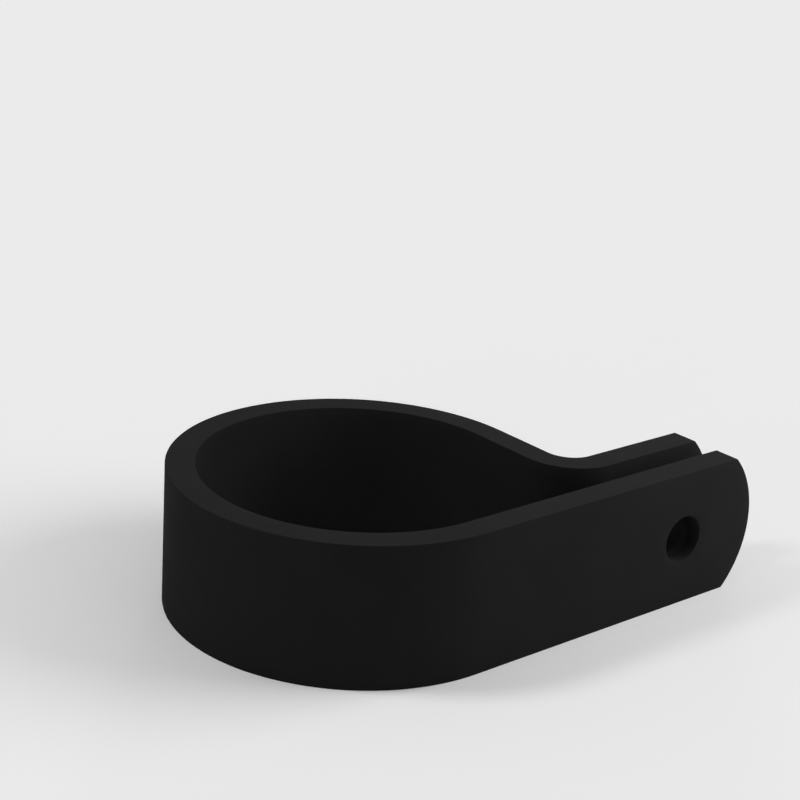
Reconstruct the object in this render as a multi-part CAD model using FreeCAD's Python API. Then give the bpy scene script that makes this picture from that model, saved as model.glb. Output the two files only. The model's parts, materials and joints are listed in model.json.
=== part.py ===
import FreeCAD, Part
import math
import os

# P clip, moulded in one piece: a flat band that runs round a cable loop and ends in two ears.
# The ears lie side by side with a gap between them, and one screw goes through both.
# Seen along the loop's axis, the near ear runs straight off the loop, and the far ear turns
# out of the loop through a bend.
# Origin: on the axis of the loop, on the edge of the band that the clip rests on.
# +X runs from the loop along the ears, +Z along the axis, and the ears lie on the -Y side.

# Driving dimensions, in mm
bore_diameter = 22.0   # the cable or bundle that the loop holds
band_thickness = 2.0   # wall of the loop and of both ears
band_width = 10.0      # the band from edge to edge, along the loop's axis
ear_gap = 2.0          # free space between the ears, which the screw pulls together
bend_radius = 2.0      # bend between loop and far ear, on the outside of the loop
hole_setback = 4.0     # from the end of the bend to the screw's axis
hole_diameter = 3.4    # clearance hole for an M3 screw
end_overhang = 2.0     # how much further than half the band's width the ears reach past the screw

# Radii and the ends of the ears, worked out from the dimensions
bore_radius = bore_diameter / 2
outer_radius = bore_radius + band_thickness
end_radius = band_width / 2 + end_overhang
ear_stack = 2 * band_thickness + ear_gap

# The bend's centre. Where it lies below the loop's centre line, the wall leaves the loop at its
# widest point and drops straight to the bend. Where it lies above, the bend meets the loop itself.
bend_y = -outer_radius + ear_stack + bend_radius
leave_angle = math.asin(max(bend_y, 0) / (outer_radius + bend_radius))
bend_x = (outer_radius + bend_radius) * math.cos(leave_angle)

# The screw's axis runs along Y, in the middle of the band's width
hole_x = bend_x + hole_setback
hole_z = band_width / 2


def point_at(centre_x, centre_y, radius, angle):
    return FreeCAD.Vector(centre_x + radius * math.cos(angle), centre_y + radius * math.sin(angle), 0)


def arc_between(centre_x, centre_y, radius, start, end):
    angles = (start, (start + end) / 2, end)
    return Part.Arc(*[point_at(centre_x, centre_y, radius, angle) for angle in angles]).toShape()


def band_face(depth, ear_end):
    # One face of the band as seen from above, from the near ear round to the far ear.
    # Depth 0 is the face towards the cable, and band_thickness is the outside.
    loop_radius = bore_radius + depth
    turn_radius = bend_radius + band_thickness - depth
    near_start = FreeCAD.Vector(ear_end, -loop_radius, 0)
    near_end = point_at(0, 0, loop_radius, 1.5 * math.pi)
    loop_end = point_at(0, 0, loop_radius, leave_angle)
    turn_start = point_at(bend_x, bend_y, turn_radius, math.pi + leave_angle)
    turn_end = point_at(bend_x, bend_y, turn_radius, 1.5 * math.pi)
    far_end = FreeCAD.Vector(ear_end, turn_end.y, 0)
    edges = [Part.makeLine(near_start, near_end)]
    edges.append(arc_between(0, 0, loop_radius, 1.5 * math.pi, leave_angle))
    if bend_y < 0:
        edges.append(Part.makeLine(loop_end, turn_start))
    edges.append(arc_between(bend_x, bend_y, turn_radius, math.pi + leave_angle, 1.5 * math.pi))
    edges.append(Part.makeLine(turn_end, far_end))
    return edges, near_start, far_end


def bent_band():
    # The band at its full width, with ears that run well past their final ends
    ear_end = hole_x + 2 * end_radius
    inner, inner_near, inner_far = band_face(0, ear_end)
    outer, outer_near, outer_far = band_face(band_thickness, ear_end)
    ends = [Part.makeLine(inner_near, outer_near), Part.makeLine(inner_far, outer_far)]
    outline = Part.Wire(Part.__sortEdges__(inner + outer + ends))
    return Part.Face(outline).extrude(FreeCAD.Vector(0, 0, band_width))


def side_outline():
    # The clip as seen from the ears' side: straight edges, and an end arc about the screw's axis.
    # It reaches twice as far out as the loop does, so that it trims only the ears.
    reach = 2 * outer_radius
    corner_x = hole_x + math.sqrt(end_radius ** 2 - hole_z ** 2)
    low_start = FreeCAD.Vector(-reach, -reach, 0)
    low_corner = FreeCAD.Vector(corner_x, -reach, 0)
    tip = FreeCAD.Vector(hole_x + end_radius, -reach, hole_z)
    high_corner = FreeCAD.Vector(corner_x, -reach, band_width)
    high_start = FreeCAD.Vector(-reach, -reach, band_width)
    edges = [Part.makeLine(low_start, low_corner)]
    edges.append(Part.Arc(low_corner, tip, high_corner).toShape())
    edges.append(Part.makeLine(high_corner, high_start))
    edges.append(Part.makeLine(high_start, low_start))
    return Part.Face(Part.Wire(edges)).extrude(FreeCAD.Vector(0, 2 * reach, 0))


def screw_hole():
    # A round cutter through both ears, twice as long as they are thick together
    start = FreeCAD.Vector(hole_x, -outer_radius - ear_stack / 2, hole_z)
    return Part.makeCylinder(hole_diameter / 2, 2 * ear_stack, start, FreeCAD.Vector(0, 1, 0))


def p_clip():
    return bent_band().common(side_outline()).cut(screw_hole()).removeSplitter()


os.makedirs("parts", exist_ok=True)
clip = p_clip().Solids[0]
clip.exportStep("parts/p_clip.step")
print("p_clip: valid", clip.isValid(), "volume", round(clip.Volume, 3), "mm3", clip.BoundBox)
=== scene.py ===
import json
import math

import bmesh
import bpy
from mathutils import Matrix, Vector


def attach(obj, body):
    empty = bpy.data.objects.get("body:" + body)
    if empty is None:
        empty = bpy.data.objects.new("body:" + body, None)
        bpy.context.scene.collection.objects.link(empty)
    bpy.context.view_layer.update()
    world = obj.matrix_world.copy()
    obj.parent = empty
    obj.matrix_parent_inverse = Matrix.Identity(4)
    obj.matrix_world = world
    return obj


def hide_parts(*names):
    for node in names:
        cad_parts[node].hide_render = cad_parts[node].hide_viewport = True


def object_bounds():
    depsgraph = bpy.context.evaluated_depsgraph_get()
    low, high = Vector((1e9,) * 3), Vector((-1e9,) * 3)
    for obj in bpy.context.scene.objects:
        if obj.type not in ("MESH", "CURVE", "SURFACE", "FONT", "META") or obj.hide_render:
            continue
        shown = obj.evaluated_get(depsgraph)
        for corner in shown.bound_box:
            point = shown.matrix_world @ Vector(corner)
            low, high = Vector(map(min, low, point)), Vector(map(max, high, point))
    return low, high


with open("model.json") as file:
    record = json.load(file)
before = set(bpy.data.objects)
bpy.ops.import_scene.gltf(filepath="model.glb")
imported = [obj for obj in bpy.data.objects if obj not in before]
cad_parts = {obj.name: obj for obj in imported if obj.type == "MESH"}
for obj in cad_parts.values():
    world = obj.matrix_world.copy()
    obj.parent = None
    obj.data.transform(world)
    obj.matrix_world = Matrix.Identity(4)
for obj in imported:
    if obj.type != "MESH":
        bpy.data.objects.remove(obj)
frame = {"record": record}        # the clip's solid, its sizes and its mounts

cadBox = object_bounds()     # the solid's own box, before anything is dressed
mm = 0.001
tiny = 1e-9              # what rounding may leave where nothing should be
mounts = {mount["name"]: mount for mount in frame["record"]["mounts"]}


def linearColour(hexCode):
    # sRGB hex such as "1c1c1d" to the linear colour that a shader takes
    channels = [int(hexCode[i:i + 2], 16) / 255 for i in (0, 2, 4)]
    return [c / 12.92 if c <= 0.04045 else ((c + 0.055) / 1.055) ** 2.4 for c in channels] + [1.0]


def addNode(tree, kind, settings=None, values=None, links=None):
    # one node: its own settings, the values of its sockets, and what feeds them
    node = tree.nodes.new(kind)
    for name, value in (settings or {}).items():
        setattr(node, name, value)
    for socket, value in (values or {}).items():
        node.inputs[socket].default_value = value
    for socket, source in (links or {}).items():
        tree.links.new(source, node.inputs[socket])
    return node


def seenRay(tree):
    # 1 for rays that show a thing to the eye, straight, mirrored or through glass, and 0 for rays that
    # only carry its light
    path = addNode(tree, "ShaderNodeLightPath")
    mirrored = addNode(tree, "ShaderNodeMath", {"operation": "MAXIMUM"},
                       links={0: path.outputs["Is Camera Ray"], 1: path.outputs["Is Glossy Ray"]})
    seen = addNode(tree, "ShaderNodeMath", {"operation": "MAXIMUM"},
                   links={0: mirrored.outputs["Value"], 1: path.outputs["Is Transmission Ray"]})
    return seen.outputs["Value"]


def newMaterial(name):
    material = bpy.data.materials.new(name)
    material.use_nodes = True
    material.node_tree.nodes.clear()
    return material, material.node_tree


# the clip: a flat band with two round-ended ears, drawn flat and then wrapped round the loop

clip = {
    "bendRadius": 2.0 * mm,      # outside of the bend between loop and far ear
    "earOverhang": 2.0 * mm,     # how much further than half the width the ears reach past the screw
    "edgeBreak": 0.04 * mm,      # moulded edges are crisp, but never quite sharp
    "edgeRows": 3,               # rows of faces round one edge
    "sharpEdge": 30.0,           # degrees between two faces from which their edge is broken
    "roundStep": 2.0,            # degrees of the loop in one row of faces
    "bendStep": 5.0,             # degrees of the bend in one row
    "earStep": 4.6,              # degrees about the screw's axis in one row
    "straightStep": 1.0 * mm,    # length of a row on a straight stretch
    "holeRings": 6,              # rings of faces between the screw hole and the ear's outline
}


def clipSizes():
    # everything that the solid fixes, read from its mounts
    loop, hole, face = mounts["cable_loop"], mounts["screw_hole"], mounts["fixing_face"]
    sizes = {
        "bore": loop["dims"]["r_mm"] * mm,
        "width": loop["dims"]["length_mm"] * mm,
        "outer": -face["pos_m"][1],
        "holeX": hole["pos_m"][0],
        "holeZ": hole["pos_m"][2],
        "hole": hole["dims"]["r_mm"] * mm,
        "stack": hole["dims"]["length_mm"] * mm,
    }
    sizes["wall"] = sizes["outer"] - sizes["bore"]
    sizes["bendX"] = sizes["outer"] + clip["bendRadius"]
    sizes["bendY"] = sizes["stack"] - sizes["outer"] + clip["bendRadius"]
    sizes["endRadius"] = sizes["width"] / 2 + clip["earOverhang"]
    # lengths along the band's middle line: three quarters of a turn, less the drop, and the bend's
    # quarter turn
    sizes["middle"] = sizes["bore"] + sizes["wall"] / 2
    sizes["bendMiddle"] = clip["bendRadius"] + sizes["wall"] / 2
    sizes["loopLength"] = 1.5 * math.pi * sizes["middle"]
    sizes["dropEnd"] = sizes["loopLength"] - sizes["bendY"]
    sizes["bendEnd"] = sizes["dropEnd"] + 0.5 * math.pi * sizes["bendMiddle"]
    return sizes


def wrapBand(sizes, along, depth):
    # a length on the flat band's middle line, and a depth outwards from the face that holds the cable,
    # to x and y on the clip. Length 0 is where the near ear meets the loop.
    radius = sizes["bore"] + depth
    if along <= 0:
        return -along, -radius
    if along <= sizes["loopLength"]:
        angle = -0.5 * math.pi - along / sizes["middle"]
        return radius * math.cos(angle), radius * math.sin(angle)
    if along <= sizes["dropEnd"]:
        return radius, sizes["loopLength"] - along
    turn = clip["bendRadius"] + sizes["wall"] - depth
    if along <= sizes["bendEnd"]:
        angle = math.pi + (along - sizes["dropEnd"]) / sizes["bendMiddle"]
        return sizes["bendX"] + turn * math.cos(angle), sizes["bendY"] + turn * math.sin(angle)
    return sizes["bendX"] + along - sizes["bendEnd"], sizes["bendY"] - turn


def evenSteps(start, end, longest):
    # values from start to end in equal steps, none longer than longest, with both ends
    count = max(1, math.ceil(abs(end - start) / longest - tiny))
    return [start + (end - start) * i / count for i in range(count + 1)]


def earSpokes(sizes):
    # angles about the screw's axis, measured from the ear's tip, with how far the outline is there
    half, back = sizes["width"] / 2, sizes["holeX"] - sizes["bendX"]
    tipCorner = math.asin(half / sizes["endRadius"])
    backCorner = math.atan2(half, -back)
    step = math.radians(clip["earStep"])
    corners = [-tipCorner, tipCorner, backCorner, 2 * math.pi - backCorner, 2 * math.pi - tipCorner]
    spokes = []
    for start, end in zip(corners, corners[1:]):
        for angle in evenSteps(start, end, step)[:-1]:
            reach = [sizes["endRadius"]]
            if abs(math.sin(angle)) > tiny:
                reach.append(half / abs(math.sin(angle)))
            if math.cos(angle) < 0:
                reach.append(back / -math.cos(angle))
            spokes.append((angle, min(reach)))
    return spokes


def flatBand(sizes):
    # the blank: quads in (length along, height), one plate round each screw hole and a strip between
    points, quads, seen = [], [], {}

    def corner(along, height):
        # corners closer than 0.00001 mm are one
        key = (round(along / mm, 5), round(height / mm, 5))
        if key not in seen:
            seen[key] = len(points)
            points.append((along, height))
        return seen[key]

    spokes = earSpokes(sizes)
    back = sizes["holeX"] - sizes["bendX"]
    for centre, tipward in ((-sizes["holeX"], -1), (sizes["bendEnd"] + back, 1)):
        for (angleA, reachA), (angleB, reachB) in zip(spokes, spokes[1:] + spokes[:1]):
            for ring in range(clip["holeRings"]):
                quad = []
                for angle, reach, share in ((angleA, reachA, ring), (angleA, reachA, ring + 1),
                                            (angleB, reachB, ring + 1), (angleB, reachB, ring)):
                    radius = sizes["hole"] + (reach - sizes["hole"]) * share / clip["holeRings"]
                    quad.append(corner(centre + tipward * radius * math.cos(angle),
                                       sizes["holeZ"] + radius * math.sin(angle)))
                quads.append(quad)
    # the strip's rows of heights are where the spokes meet the plate's back edge
    heights = sorted(sizes["holeZ"] + reach * math.sin(angle) for angle, reach in spokes
                     if abs(reach * math.cos(angle) + back) < tiny)
    stations = evenSteps(-sizes["bendX"], 0, clip["straightStep"])
    stations += evenSteps(0, sizes["loopLength"], math.radians(clip["roundStep"]) * sizes["middle"])[1:]
    stations += evenSteps(sizes["loopLength"], sizes["dropEnd"], clip["straightStep"])[1:]
    stations += evenSteps(sizes["dropEnd"], sizes["bendEnd"],
                          math.radians(clip["bendStep"]) * sizes["bendMiddle"])[1:]
    for startAlong, endAlong in zip(stations, stations[1:]):
        for low, high in zip(heights, heights[1:]):
            quads.append([corner(startAlong, low), corner(endAlong, low),
                          corner(endAlong, high), corner(startAlong, high)])
    return points, quads


def buildClip():
    # both faces of the band, the rims that join them, and a small round on every edge
    sizes = clipSizes()
    points, quads = flatBand(sizes)
    vertices = []
    for depth in (0.0, sizes["wall"]):
        for along, height in points:
            vertices.append((*wrapBand(sizes, along, depth), height))
    shift = len(points)
    faces = quads + [[i + shift for i in reversed(quad)] for quad in quads]
    # a side that only one quad has lies on the outline, where a rim joins the two faces
    sides = {}
    for quad in quads:
        for a, b in zip(quad, quad[1:] + quad[:1]):
            sides.setdefault(frozenset((a, b)), []).append((a, b))
    for shared in sides.values():
        if len(shared) == 1:
            a, b = shared[0]
            faces.append([b, a, a + shift, b + shift])
    mesh = bpy.data.meshes.new("p_clip_dressed")
    mesh.from_pydata(vertices, [], faces)
    shape = bmesh.new()
    shape.from_mesh(mesh)
    bmesh.ops.recalc_face_normals(shape, faces=shape.faces)
    sharp = math.radians(clip["sharpEdge"])
    edges = [edge for edge in shape.edges if edge.calc_face_angle(0) > sharp]
    # a profile of 0.5 is a true round
    bmesh.ops.bevel(shape, geom=edges, offset=clip["edgeBreak"], offset_type="OFFSET",
                    segments=clip["edgeRows"], profile=0.5, affect="EDGES", clamp_overlap=True)
    for face in shape.faces:
        face.smooth = True
    shape.to_mesh(mesh)
    shape.free()
    piece = bpy.data.objects.new("p_clip_dressed", mesh)
    bpy.context.scene.collection.objects.link(piece)
    # flat faces keep flat shading, and only the small rounds at the edges turn
    weighted = piece.modifiers.new("flatFaces", "WEIGHTED_NORMAL")
    weighted.weight = 100        # the larger a face, the more it counts
    weighted.keep_sharp = False
    return piece


# moulded nylon, black and matt: light goes in and hardly comes back, so each face reads as one dark
# grey, with a faint even grain from the sparked mould and no highlight

nylon = {
    "colour": "1c1c1c",
    "paleColour": "222222",      # where the melt cooled a little paler
    "cloudSize": 5.0 * mm,       # size of those paler clouds
    "cloudDetail": 3.0,          # how many finer layers the clouds have
    "metallic": 0.0,
    "roughness": 0.84,
    "roughnessSpread": 0.06,     # how far the grain moves the roughness either way
    "specular": 0.021,           # matt faces give back far less than the usual 0.5
    "ior": 1.53,                 # nylon
    "grainSize": 0.16 * mm,      # a sparked mould's grain is 0.05 to 0.1 mm, drawn coarser to show
    "grainDetail": 2.0,          # finer layers in the grain
    "grainSharpness": 0.6,       # how strongly those layers show
    "grainHeight": 0.0035 * mm,  # how deep the grain is
}


def mouldedNylon():
    material, tree = newMaterial("mouldedNylon")
    place = addNode(tree, "ShaderNodeTexCoord")
    clouds = addNode(tree, "ShaderNodeTexNoise",
                     values={"Scale": 1 / nylon["cloudSize"], "Detail": nylon["cloudDetail"]},
                     links={"Vector": place.outputs["Object"]})
    grain = addNode(tree, "ShaderNodeTexNoise",
                    values={"Scale": 1 / nylon["grainSize"], "Detail": nylon["grainDetail"],
                            "Roughness": nylon["grainSharpness"]},
                    links={"Vector": place.outputs["Object"]})
    colour = addNode(tree, "ShaderNodeMix", {"data_type": "RGBA"},
                     {6: linearColour(nylon["colour"]), 7: linearColour(nylon["paleColour"])},
                     {0: clouds.outputs["Fac"]})
    rough = addNode(tree, "ShaderNodeMapRange",
                    values={"To Min": nylon["roughness"] - nylon["roughnessSpread"],
                            "To Max": nylon["roughness"] + nylon["roughnessSpread"]},
                    links={"Value": grain.outputs["Fac"]})
    bump = addNode(tree, "ShaderNodeBump", values={"Strength": 1.0, "Distance": nylon["grainHeight"]},
                   links={"Height": grain.outputs["Fac"]})
    skin = addNode(tree, "ShaderNodeBsdfPrincipled",
                   values={"IOR": nylon["ior"], "Specular IOR Level": nylon["specular"],
                           "Metallic": nylon["metallic"]},
                   links={"Base Color": colour.outputs[2], "Roughness": rough.outputs["Result"],
                          "Normal": bump.outputs["Normal"]})
    addNode(tree, "ShaderNodeOutputMaterial", links={"Surface": skin.outputs["BSDF"]})
    return material


# light: an even white room, three round lamps close to the clip and a faint one far behind it.
# Azimuths run from +Y towards +X, and a strength of 1 makes a white face turned to the lamp show white.
# The far lamp's softness is how many degrees across it looks.

room = {
    "colour": "ffffff",
    "strength": 0.233,
    "seenColour": "ebebeb",      # what shows beyond the table, straight or mirrored
}
farLamp = {"azimuth": 44.5, "elevation": 4.0, "softness": 11.0, "strength": 0.225}
nearLamps = {
    "frontRight": {"azimuth": 130.2, "elevation": 33.3, "strength": 0.66,
                   "distance": 78.5 * mm, "radius": 28.6 * mm},
    "topLeft": {"azimuth": 287.6, "elevation": 53.8, "strength": 0.288,
                "distance": 76.2 * mm, "radius": 7.5 * mm},
    "leftLow": {"azimuth": 252.4, "elevation": 7.8, "strength": 0.082,
                "distance": 93.4 * mm, "radius": 16.7 * mm},
}


def towardsLamp(lamp):
    # direction from the clip to a lamp
    azimuth, elevation = math.radians(lamp["azimuth"]), math.radians(lamp["elevation"])
    level = math.cos(elevation)
    return Vector((math.sin(azimuth) * level, math.cos(azimuth) * level, math.sin(elevation)))


def lampPlace(lamp):
    # a near lamp's distance is from the middle of the clip
    low, high = (Vector(corner) for corner in cadBox)
    return (low + high) / 2 + towardsLamp(lamp) * lamp["distance"]


def addLamp(name, kind):
    light = bpy.data.lights.new(name, kind)
    post = bpy.data.objects.new(name, light)
    bpy.context.scene.collection.objects.link(post)
    return light, post


def lightRoom():
    world = bpy.data.worlds.new("room")
    bpy.context.scene.world = world
    world.use_nodes = True
    tree = world.node_tree
    tree.nodes.clear()
    walls = addNode(tree, "ShaderNodeBackground",
                    values={"Color": linearColour(room["colour"]), "Strength": room["strength"]})
    seen = addNode(tree, "ShaderNodeBackground", values={"Color": linearColour(room["seenColour"])})
    either = addNode(tree, "ShaderNodeMixShader",
                     links={0: seenRay(tree), 1: walls.outputs["Background"],
                            2: seen.outputs["Background"]})
    addNode(tree, "ShaderNodeOutputWorld", links={"Surface": either.outputs["Shader"]})
    light, post = addLamp("backRight", "SUN")
    light.energy = farLamp["strength"] * math.pi
    light.angle = math.radians(farLamp["softness"])
    post.matrix_world = towardsLamp(farLamp).to_track_quat("Z", "Y").to_matrix().to_4x4()
    for name, lamp in nearLamps.items():
        light, post = addLamp(name, "POINT")
        light.energy = lamp["strength"] * (2 * math.pi * lamp["distance"]) ** 2
        light.shadow_soft_size = lamp["radius"]
        light.use_soft_falloff = False
        post.location = lampPlace(lamp)
        post.visible_camera = False      # so near, it would stand in the picture


# the table it lies on: pale paper that shows one even tone, darkened only by the clip's shadows

table = {
    "colour": "ebebeb",          # the tone that shows
    "paperColour": "e6e6e6",     # the paper that bounced light meets
    "width": 8.0,                # metres, far past what the camera takes in
}


def paperTable():
    # The near lamps light the table unevenly, so the tone that shows is divided by the light
    # that would reach each spot with nothing on the table. A lamp's share of that light goes with the
    # lamp's height over the cube of its distance to the spot.
    material, tree = newMaterial("matPaper")
    spot = addNode(tree, "ShaderNodeTexCoord")
    evenShare = room["strength"] + farLamp["strength"] * towardsLamp(farLamp).z
    light = None
    for lamp in nearLamps.values():
        share = lamp["strength"] * lamp["distance"] ** 2 * lampPlace(lamp).z
        reach = addNode(tree, "ShaderNodeVectorMath", {"operation": "DISTANCE"},
                        {1: lampPlace(lamp)}, {0: spot.outputs["Object"]})
        fade = addNode(tree, "ShaderNodeMath", {"operation": "POWER"}, {1: -3.0},
                       {0: reach.outputs["Value"]})
        soFar = {2: light.outputs["Value"]} if light else {}
        light = addNode(tree, "ShaderNodeMath", {"operation": "MULTIPLY_ADD"},
                        {1: share, 2: evenShare}, {0: fade.outputs["Value"], **soFar})
    tone = addNode(tree, "ShaderNodeMath", {"operation": "DIVIDE"},
                   {0: linearColour(table["colour"])[0]}, {1: light.outputs["Value"]})
    colour = addNode(tree, "ShaderNodeMix", {"data_type": "RGBA"},
                     {6: linearColour(table["paperColour"])},
                     {0: seenRay(tree), 7: tone.outputs["Value"]})
    skin = addNode(tree, "ShaderNodeBsdfDiffuse", links={"Color": colour.outputs[2]})
    addNode(tree, "ShaderNodeOutputMaterial", links={"Surface": skin.outputs["BSDF"]})
    half = table["width"] / 2
    corners = [(-half, -half, 0), (half, -half, 0), (half, half, 0), (-half, half, 0)]
    mesh = bpy.data.meshes.new("table")
    mesh.from_pydata(corners, [], [(0, 1, 2, 3)])
    mesh.materials.append(material)
    floor = bpy.data.objects.new("table", mesh)
    bpy.context.scene.collection.objects.link(floor)


# the camera, solved from the clip's own edges in the photograph

camera = {
    "place": Vector((-74.957, -89.644, 57.442)) * mm,
    "azimuth": 41.125,           # degrees from +Y towards +X
    "down": 20.017,
    "roll": 3.854,
    "lens": 83.963,
    "sensor": 36.0,
    "nearest": 1 * mm,           # nothing closer than this shows
    "furthest": 100.0,           # nor anything beyond this
}


def placeCamera():
    data = bpy.data.cameras.new("camera")
    data.lens = camera["lens"]
    data.sensor_width = camera["sensor"]
    data.clip_start = camera["nearest"]
    data.clip_end = camera["furthest"]
    eye = bpy.data.objects.new("camera", data)
    turn = Matrix.Rotation(-math.radians(camera["azimuth"]), 4, "Z")
    tilt = Matrix.Rotation(math.radians(90 - camera["down"]), 4, "X")
    roll = Matrix.Rotation(math.radians(camera["roll"]), 4, "Z")
    eye.matrix_world = Matrix.Translation(camera["place"]) @ turn @ tilt @ roll
    bpy.context.scene.collection.objects.link(eye)
    bpy.context.scene.camera = eye


placeCamera()
print("camera placed")
dressedClip = buildClip()
dressedClip.data.materials.append(mouldedNylon())
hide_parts("p_clip")
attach(dressedClip, "root")
print("clip wrapped:", len(dressedClip.data.polygons), "faces")
lightRoom()
paperTable()
bpy.context.scene.view_settings.view_transform = "Standard"
print("table and light ready")
